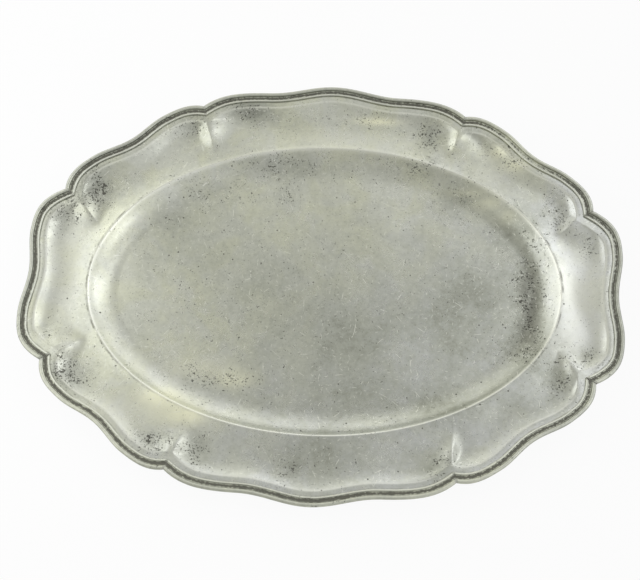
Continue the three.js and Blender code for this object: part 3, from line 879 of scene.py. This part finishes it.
def dish_rows(columns, relief, moulding, at):
    """Rows of the dish from the middle of its underside out to the edge of the sheet and back over the
    rim and the well to the middle of the floor, with the marks of each row, and how many rows are under."""
    middle = np.array([relief.well_shift_x, relief.well_shift_y])
    own = 1 - web_share(columns, relief, 0.0)
    rows = []
    marks = []

    def along(shares):
        """The same shares down every column."""
        return np.array(shares)[:, None] + np.zeros(len(columns.t))

    def add(block, grime_and_shade=0.0, rubbed_and_highlight=0.0):
        """Adds some rows with their marks."""
        rows.append(block)
        marks.append(np.stack([np.broadcast_to(m, block.shape[:-1]) for m in (grime_and_shade, rubbed_and_highlight)]))

    def ring(shrink, thickness, z):
        """Rings that shrink from the wall's foot to the middle."""
        foot = wall_surface(columns, relief, at, np.array([[1.0]]), thickness)[0]
        return raised(middle + (foot[:, :2] - middle) * shrink[..., None], z)

    def waver(points, wavelength, seed, weight):
        """Makes some rows a little uneven."""
        points[..., 2] += relief.waver * weight * hand_waver(points[..., :2], wavelength, seed)

    def rolled(inset):
        """Rows of the band and the shoulder, which rolls over more and more."""
        over = np.clip((inset - at.strip) / (at.panel_inset - at.strip), 0, 1) ** relief.roll_power
        return on_rim(columns, inset, at.land - relief.shoulder_drop * over * own)

    # The underside and the edge of the sheet
    add(ring(along(UNDER_RINGS), relief.sheet, 0.0))
    add(wall_surface(columns, relief, at, along(UNDER_WALL), relief.sheet))
    add(panel_surface(columns, relief, at, along(UNDER_PANEL), relief.sheet)[0])
    low = at.land - relief.sheet
    edge = moulding.overhang
    inset = along([at.band, at.strip, edge + EDGE_MARGIN, edge + EDGE_BREAK])
    add(on_rim(columns, inset, low), grime_and_shade=UNDER_DIRT)
    add(on_rim(columns, edge, along([low + EDGE_BREAK, at.land - EDGE_BREAK])), grime_and_shade=EDGE_DIRT)
    under = sum(map(len, rows))

    # The land under the moulding, the band beside it and the shoulder
    inset = along([edge + EDGE_BREAK, *BAND_INSETS[:-1], *np.linspace(BAND_INSETS[-1], at.band, 3)])
    # a dark line of dirt and painted shade in the corner at the moulding's foot
    add(rolled(inset), grime_and_shade=bell(inset - at.strip, *FOOT_DIRT_AND_SHADE))
    s = along(SHOULDER_ROWS)
    # a painted highlight along the shoulder
    add(rolled(at.band + relief.shoulder_width * s), rubbed_and_highlight=bell(s, *SHOULDER_HIGHLIGHT) * own)

    # The panels
    v = along(PANEL_ROWS)
    block, web, far = panel_surface(columns, relief, at, v, 0.0)
    waver(block, *PANEL_WAVER, np.sin(np.pi * v) ** PANEL_EASE)
    block[..., 2] += edge_profile(relief, far)
    # a painted highlight along the crest of each ridge
    ridge = RIDGE_HIGHLIGHT * (web**RIDGE_CREST * np.sin(np.pi * np.clip(v * RIDGE_RUN, 0, 1)))
    # painted shade: a dark line beside the well's edge, strongest at both ends
    dirt_and_shade = bell(far, *WELL_SHADE) * np.cos(columns.angle) ** 2
    # the well's edge, rubbed and given a painted highlight, which reaches further at the back
    reach = EDGE_RUB_AND_HIGHLIGHT + BACK_HIGHLIGHT * np.clip(np.sin(columns.angle), 0, 1)
    add(block, grime_and_shade=dirt_and_shade, rubbed_and_highlight=np.clip(ridge + bell(far, reach), 0, 1))

    # The well's wall and its floor
    x = along(WALL_ROWS)
    far = x * relief.wall_run
    block = wall_surface(columns, relief, at, x, 0.0)
    block[..., 2] += edge_profile(relief, far)
    # the top of the wall, rubbed and given a painted highlight
    add(block, rubbed_and_highlight=bell(far, WALL_RUB_AND_HIGHLIGHT))
    shrink = along(FLOOR_RINGS)
    block = ring(shrink, 0.0, at.floor)
    waver(block, *FLOOR_WAVER, np.sin(np.pi / 2 * np.clip((1 - shrink) * FLOOR_EASE, 0, 1)))
    add(block)
    return np.concatenate(rows), np.concatenate(marks, axis=1), under


def dish_mesh(s):
    """The whole dish as one closed skin: rings of points from pole to pole."""
    at = levels(s.relief, s.moulding)
    columns = dish_columns(lobe_table(s.outline, s.relief), DISH_STEPS)
    rows, marks, under = dish_rows(columns, s.relief, s.moulding, at)
    count = len(columns.t)
    points = rows.reshape(-1, 3)
    last = len(points) - count
    heights = (0.0, points[last:, 2].mean())
    poles = np.array([[s.relief.well_shift_x, s.relief.well_shift_y, z] for z in heights])
    points = np.concatenate((points, poles))
    j = np.arange(count)
    n = (j + 1) % count
    low = np.stack((n, j, np.full(count, len(points) - 2)), axis=1)
    high = np.stack((last + j, last + n, np.full(count, len(points) - 1)), axis=1)
    faces = ring_faces(len(rows), count).tolist() + low.tolist() + high.tolist()
    grime_and_shade, rubbed_and_highlight = np.concatenate((marks.reshape(2, -1), np.zeros((2, 2))), axis=1)
    top = np.arange(len(points)) >= under * count
    top[-2] = False  # the pole of the underside
    grime_and_shade = np.maximum(grime_and_shade, soft_patches(points, CRACKS) * top)
    # polished places, with painted highlights on them
    rubbed_and_highlight = np.clip(rubbed_and_highlight + soft_patches(points, POLISH_AND_HIGHLIGHTS) * top, 0, 1)
    worn = {key: np.where(top, soft_patches(points, WORN[key]), UNDERSIDE[key]) for key in WORN}
    return points, faces, {"grime_and_shade": grime_and_shade, "rubbed_and_highlight": rubbed_and_highlight, **worn}


# Points of the parts of the moulding's section, and of the fillet's
FOOT_POINTS = 7
REED_POINTS = 16
GROOVE_POINTS = 10
BEAD_POINTS = 26
FILLET_POINTS = 9

# How the parts of the section are rounded, dark, and rubbed with a painted highlight
HEEL = np.array([0.75, 0.45, 0.2])  # heights of its heel as shares of the metal under the groove
FACE = np.array([0.4, 0.8])  # and of its inner face
ROUND_POWER = 0.85  # 1 is an ellipse, less is squarer
GROOVE_DIP = 0.15 * MM
GROOVE_REACH = 0.44  # half width of the dark film as a share of the groove
GROOVE_CLIMB = 0.6 * MM  # how high that film climbs over the groove
FOOT_DARK = 0.3  # dark film at the inner foot
FOOT_REACH = 0.2 * MM  # and how far in it lies
BEAD_CREST = 0.8  # the bead is rubbed, with a painted highlight, above this share of its height
BEAD_RUB = 0.45
STRIP_ROOM = 0.18 * MM  # how far the strips stay inside the outline
MITRE_ROOM = 0.2 * MM  # and the solder in the mitres
CRACK_HALF = 1.8  # half width of a crack, in steps of the mitre
SEAM_DARK = 0.45  # dark film on the solder under the rim

# How the beads sway in height: mean, spread, wavelength in metres and seed, and how late they come to rest
SWAY = (0.03, 0.035, 0.03, 11)
REST_POWER = 8


def moulding_section(m):
    """Closed section of the moulding, anticlockwise, as insets, heights over the land, a groove mark and a
    mark of rubbing with a painted highlight on the tops. The bead is half a superellipse, the reed nearly
    half an ellipse, the groove a dip."""
    base = m.groove_height
    reed_start = m.bead_width + m.groove_width
    end = reed_start + m.reed_width
    foot = np.linspace(m.undercut, end, FOOT_POINTS)
    turn = np.linspace(0, np.pi, REED_POINTS)[1:-1]
    reed_x = reed_start + m.reed_width / 2 * (1 + np.cos(turn))
    reed_z = base + (m.reed_height - base) * np.sin(turn) ** ROUND_POWER
    dip = np.linspace(0, 1, GROOVE_POINTS)
    groove_x = reed_start - m.groove_width * dip
    groove_z = base - GROOVE_DIP * np.sin(np.pi * dip)
    turn = np.linspace(0, np.pi, BEAD_POINTS)[1:-1]
    round_x = np.sign(np.cos(turn)) * np.abs(np.cos(turn)) ** ROUND_POWER
    bead_x = m.bead_width / 2 * (1 + round_x)
    bead_z = base + (m.bead_height - base) * np.sin(turn) ** ROUND_POWER
    inset = np.concatenate((foot, [end, end], reed_x, groove_x, bead_x, m.undercut * (1 - HEEL) ** 2))
    height = np.concatenate((0 * foot, base * FACE, reed_z, groove_z, bead_z, base * HEEL))
    from_middle = np.abs(inset - (m.bead_width + m.groove_width / 2))
    in_groove = np.exp(-((from_middle / (m.groove_width * GROOVE_REACH)) ** 3))
    in_groove = in_groove * (height < base + GROOVE_CLIMB)
    at_foot = FOOT_DARK * (inset > end - FOOT_REACH) * (height < base)
    on_reed = np.clip((height - base) / (m.reed_height - base), 0, 1) ** 2 * (inset > reed_start)
    crest = np.clip((height - m.bead_height * BEAD_CREST) / (m.bead_height * (1 - BEAD_CREST)), 0, 1)
    on_bead = BEAD_RUB * crest * (inset < reed_start)
    return inset, height, np.maximum(in_groove, at_foot), on_reed + on_bead


def lobe_columns(table, lobe, steps, gap):
    """Columns along one lobe that stop a gap short of its cusps."""
    t = spread_t(steps, 1 - gap / chord(table, np.array(lobe))[2])
    return columns_at(table, np.full(len(t), lobe), t)


def carry(columns, inset, z):
    """A closed section carried along columns, with a cap at each end: points and faces. Its insets and
    heights have a row for each point of the section."""
    count = len(inset)
    steps = len(columns.t)
    lines = on_rim(columns, inset[:, None], z)
    last = (steps - 1) * count
    caps = [list(range(count))[::-1], list(range(last, last + count))]
    return lines.swapaxes(0, 1).reshape(-1, 3), ring_faces(steps, count).tolist() + caps


def workshop():
    """What every strip and solder is made from: the settings, the levels and the table of lobes."""
    s = settings()
    return s, levels(s.relief, s.moulding), lobe_table(s.outline, s.relief)


class PLATTER_OT_dish(bpy.types.Operator):
    """Makes the dish: rim, panels, well and underside"""

    bl_idname = "platter.dish"
    bl_label = "Dish"

    def execute(self, context):
        s = settings()
        points, faces, marks = dish_mesh(s)
        piece = put_piece("dish", points, faces, marks, dish_finish(s.finish))
        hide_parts("dish_body")
        return {"FINISHED"}


class PLATTER_OT_moulding(bpy.types.Operator):
    """Makes the eight strips of the edge moulding"""

    bl_idname = "platter.moulding"
    bl_label = "Edge moulding"

    def execute(self, context):
        s, at, table = workshop()
        m = s.moulding
        finish = moulding_finish(s.finish)
        inset, height, groove, rubbed_and_highlight = moulding_section(m)
        level = height[:, None]
        mean, spread, wavelength, seed = SWAY
        for i, name in enumerate(LOBES):
            columns = lobe_columns(table, i, STRIP_STEPS, m.solder_length)
            sway = np.clip(mean + spread * hand_waver(columns.edge, wavelength, seed + i), 0, None)
            sway = sway * (1 - np.abs(columns.t) ** REST_POWER)
            heights = at.land + level * (1 - sway * (level > m.groove_height))
            points, faces = carry(columns, inset + STRIP_ROOM, heights)
            steps = len(columns.t)
            marks = {
                "groove": np.tile(groove, steps),
                "rubbed_and_highlight": np.tile(rubbed_and_highlight, steps),
                "thinned": soft_patches(points, THINNED),
                "dulled": soft_patches(points, DULLED),
            }
            piece = put_piece(f"moulding_{name}", points, faces, marks, finish)
            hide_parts(f"edge_moulding_{name}")
        return {"FINISHED"}


class PLATTER_OT_mitre_solder(bpy.types.Operator):
    """Makes the solder in the eight mitres of the moulding"""

    bl_idname = "platter.mitre_solder"
    bl_label = "Mitre solder"

    def execute(self, context):
        s, at, table = workshop()
        m = s.moulding
        finish = solder_finish(s.finish)
        inset, height, groove, _ = moulding_section(m)
        level = height[:, None]
        steps = 2 * MITRE_STEPS + 1
        dip = m.solder_sink * (0.5 + 0.5 * np.sin(np.linspace(0, np.pi, steps)))
        heights = at.land + level - dip * np.clip(level / m.groove_height, 0, 1)
        crack = bell(np.linspace(-MITRE_STEPS, MITRE_STEPS, steps), CRACK_HALF)
        for i, name in enumerate(LOBES):
            after = (i + 1) % 8
            reach = m.solder_length / chord(table, np.array([i, after]))[2]
            near = np.linspace(1 - reach[0], 1, MITRE_STEPS + 1)
            far = np.linspace(-1, -1 + reach[1], MITRE_STEPS + 1)[1:]
            lobe = np.repeat([i, after], [len(near), len(far)])
            columns = columns_at(table, lobe, np.concatenate((near, far)))
            points, faces = carry(columns, inset + MITRE_ROOM, heights)
            dark = np.repeat(CRACKED.get(name, 0.0) * crack, len(groove))
            marks = {"groove": np.maximum(np.tile(groove, steps), dark)}
            piece = put_piece(f"mitre_{name}", points, faces, marks, finish)
            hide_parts(f"mitre_solder_{name}")
        return {"FINISHED"}


class PLATTER_OT_seam_solder(bpy.types.Operator):
    """Makes the fillet of solder under the moulding of each lobe"""

    bl_idname = "platter.seam_solder"
    bl_label = "Seam solder"

    def execute(self, context):
        s, at, table = workshop()
        m = s.moulding
        finish = solder_finish(s.finish)
        corner = m.overhang - m.seam_gap
        top = at.land - m.seam_gap
        turn = np.linspace(0, np.pi / 2, FILLET_POINTS)
        inset = np.append(corner - m.seam_leg * (1 - np.sin(turn)), corner)
        z = np.append(top - m.seam_leg * (1 - np.cos(turn)), top)[:, None]
        for i, name in enumerate(LOBES):
            points, faces = carry(lobe_columns(table, i, SEAM_STEPS, m.solder_length), inset, z)
            marks = {"groove": np.full(len(points), SEAM_DARK)}
            piece = put_piece(f"seam_{name}", points, faces, marks, finish)
            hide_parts(f"seam_solder_{name}")
        return {"FINISHED"}


# The floor: its reach in metres, how far it shows its own white, and the grey of its matt surface
FLOOR_REACH = 30.0
FLOOR_GLOW = 0.93
FLOOR_MATT = (0.75, 0.75, 0.75, 1.0)

# The studio's brightness all over, more at the right and the back, less at the front, and on matt surfaces
STUDIO = SimpleNamespace(level=0.69, right=0.62, back=0.8, back_power=3.0, front=0.1, matt=0.6)
TINT_RUN = (-0.3, 0.3)  # where its tint turns from warm to cool, from left to right
WHITE = (1.0, 1.0, 1.0)

# Softboxes: middle, width and height in metres, and brightness
SOFTBOXES = {
    "tall_left": ((-0.36, 0.12, 0.39), 0.75, 0.72, 0.28),
    "low_left": ((-0.36, 0.08, 0.2), 0.5, 0.3, 0.45),
    "tall_right": ((0.5, 0.4, 1.1), 0.32, 1.68, 0.38),
    "high_right": ((0.5, -0.15, 0.53), 0.32, 0.36, 0.38),
}
SOFTBOX_POWER = 10.0  # of a square metre at a brightness of 1

# The camera: width of its picture, and the point that it looks at, in millimetres
SENSOR_WIDTH = 36.0
TARGET = (-1.71, -4.90, 16.7)


def seen_rays(f):
    """1 for rays that show the background: straight to the camera, mirrored or through glass."""
    path = f.node("ShaderNodeLightPath").outputs
    return f.plus(path["Is Camera Ray"], path["Is Glossy Ray"], path["Is Transmission Ray"], clamp=True)


def floor_finish(colour):
    """White floor that shows a pale shadow: mostly its own white to the eye, and a plain matt surface."""
    f = Finish(bpy.data.materials.new("floor_white"))
    matt = f.node("ShaderNodeBsdfDiffuse", {"Color": FLOOR_MATT}).outputs["BSDF"]
    glow = f.node("ShaderNodeEmission", {"Color": (*colour, 1.0), "Strength": 1.0}).outputs["Emission"]
    seen = f.times(seen_rays(f), FLOOR_GLOW)
    mixed = f.node("ShaderNodeMixShader", {0: seen, 1: matt, 2: glow}).outputs[0]
    f.node("ShaderNodeOutputMaterial", {"Surface": mixed})
    return f.owner


def studio_world(warm, cool):
    """A soft studio round the platter: pale all over, brighter to the right and low at the back, dimmer
    to the front, warmer to the left and cooler to the right, and plain white where it is seen directly."""
    f = Finish(bpy.data.worlds.new("studio"))
    axis = f.split(f.node("ShaderNodeTexCoord").outputs["Generated"])
    back = f.math("POWER", f.most(axis["Y"], 0.0), STUDIO.back_power)
    front = f.most(f.times(axis["Y"], -1.0), 0.0)
    right = f.most(axis["X"], 0.0)
    level = f.plus(f.times(back, STUDIO.back), STUDIO.level, f.times(right, STUDIO.right))
    level = f.less(level, f.times(front, STUDIO.front))
    seen = f.node("ShaderNodeLightPath").outputs["Is Camera Ray"]
    inputs = {"Factor": seen_rays(f), "A": STUDIO.matt, "B": f.most(level, seen)}
    level = f.node("ShaderNodeMix", inputs, data_type="FLOAT").outputs[0]
    colour = f.blend(f.ramp(axis["X"], *TINT_RUN), warm, cool)
    colour = f.blend(seen, colour, WHITE)
    glow = f.node("ShaderNodeBackground", {"Color": colour, "Strength": level})
    f.node("ShaderNodeOutputWorld", {"Surface": glow.outputs["Background"]})
    return f.owner


def softbox(name, place, width, height, level, colour):
    """An upright softbox beside the platter that faces across it, of an even brightness."""
    data = bpy.data.lights.new(name, "AREA")
    data.shape = "RECTANGLE"
    data.size = width
    data.size_y = height
    data.energy = SOFTBOX_POWER * level * width * height
    data.color = colour
    lamp = put_object(name, data)
    lamp.location = place
    lamp.rotation_mode = "QUATERNION"
    lamp.rotation_quaternion = Vector((-place[0], 0, 0)).to_track_quat("-Z", "Y")
    lamp.visible_camera = False


class PLATTER_OT_stage(bpy.types.Operator):
    """Makes the floor, the studio light and the camera"""

    bl_idname = "platter.stage"
    bl_label = "Stage"

    def execute(self, context):
        s = settings().stage
        scene = context.scene
        scene.view_settings.view_transform = "Standard"
        mesh = bpy.data.meshes.new("floor")
        corners = [(x * FLOOR_REACH, y * FLOOR_REACH, 0) for x, y in ((-1, -1), (1, -1), (1, 1), (-1, 1))]
        mesh.from_pydata(corners, [], [(0, 1, 2, 3)])
        mesh.materials.append(floor_finish(s.floor))
        floor = put_object("floor", mesh)
        scene.world = studio_world(s.warm, s.cool)
        for name, sizes in SOFTBOXES.items():
            softbox(name, *sizes, s.softbox)
        data = bpy.data.cameras.new("camera")
        data.sensor_width = SENSOR_WIDTH
        data.lens = s.lens
        camera = put_object("camera", data)
        flat = math.cos(s.elevation)
        back = Vector((math.sin(s.azimuth) * flat, -math.cos(s.azimuth) * flat, math.sin(s.elevation)))
        camera.location = Vector(TARGET) * MM + back * s.distance
        camera.rotation_mode = "QUATERNION"
        camera.rotation_quaternion = (-back).to_track_quat("-Z", "Y")
        scene.camera = camera
        return {"FINISHED"}


OPERATORS = (
    PLATTER_OT_dish,
    PLATTER_OT_moulding,
    PLATTER_OT_mitre_solder,
    PLATTER_OT_seam_solder,
    PLATTER_OT_stage,
)


class PLATTER_PT_panel(bpy.types.Panel):
    """Lists the platter's pieces and settings"""

    bl_idname = "PLATTER_PT_panel"
    bl_label = "Platter"
    bl_space_type = "VIEW_3D"
    bl_region_type = "UI"
    bl_category = "Platter"

    def draw(self, context):
        for operator in OPERATORS:
            self.layout.operator(operator.bl_idname)
        for group in GROUPS:
            box = self.layout.box()
            settings_of = getattr(context.scene, group)
            for key in settings_of.__annotations__:
                box.prop(settings_of, key)


GROUPS = {
    "platter_outline": PlatterOutline,
    "platter_relief": PlatterRelief,
    "platter_moulding": PlatterMoulding,
    "platter_finish": PlatterFinish,
    "platter_stage": PlatterStage,
}


def register():
    """Registers the settings, the operators and the panel."""
    for name, group in GROUPS.items():
        bpy.utils.register_class(group)
        setattr(bpy.types.Scene, name, bpy.props.PointerProperty(type=group))
    for operator in (*OPERATORS, PLATTER_PT_panel):
        bpy.utils.register_class(operator)


def unregister():
    """Takes them all away again."""
    for operator in (PLATTER_PT_panel, *reversed(OPERATORS)):
        bpy.utils.unregister_class(operator)
    for name, group in reversed(GROUPS.items()):
        delattr(bpy.types.Scene, name)
        bpy.utils.unregister_class(group)


def main():
    """Builds every piece and the stage."""
    register()
    bpy.ops.platter.stage()
    bpy.ops.platter.dish()
    bpy.ops.platter.moulding()
    bpy.ops.platter.mitre_solder()
    bpy.ops.platter.seam_solder()


if __name__ == "__main__":
    main()
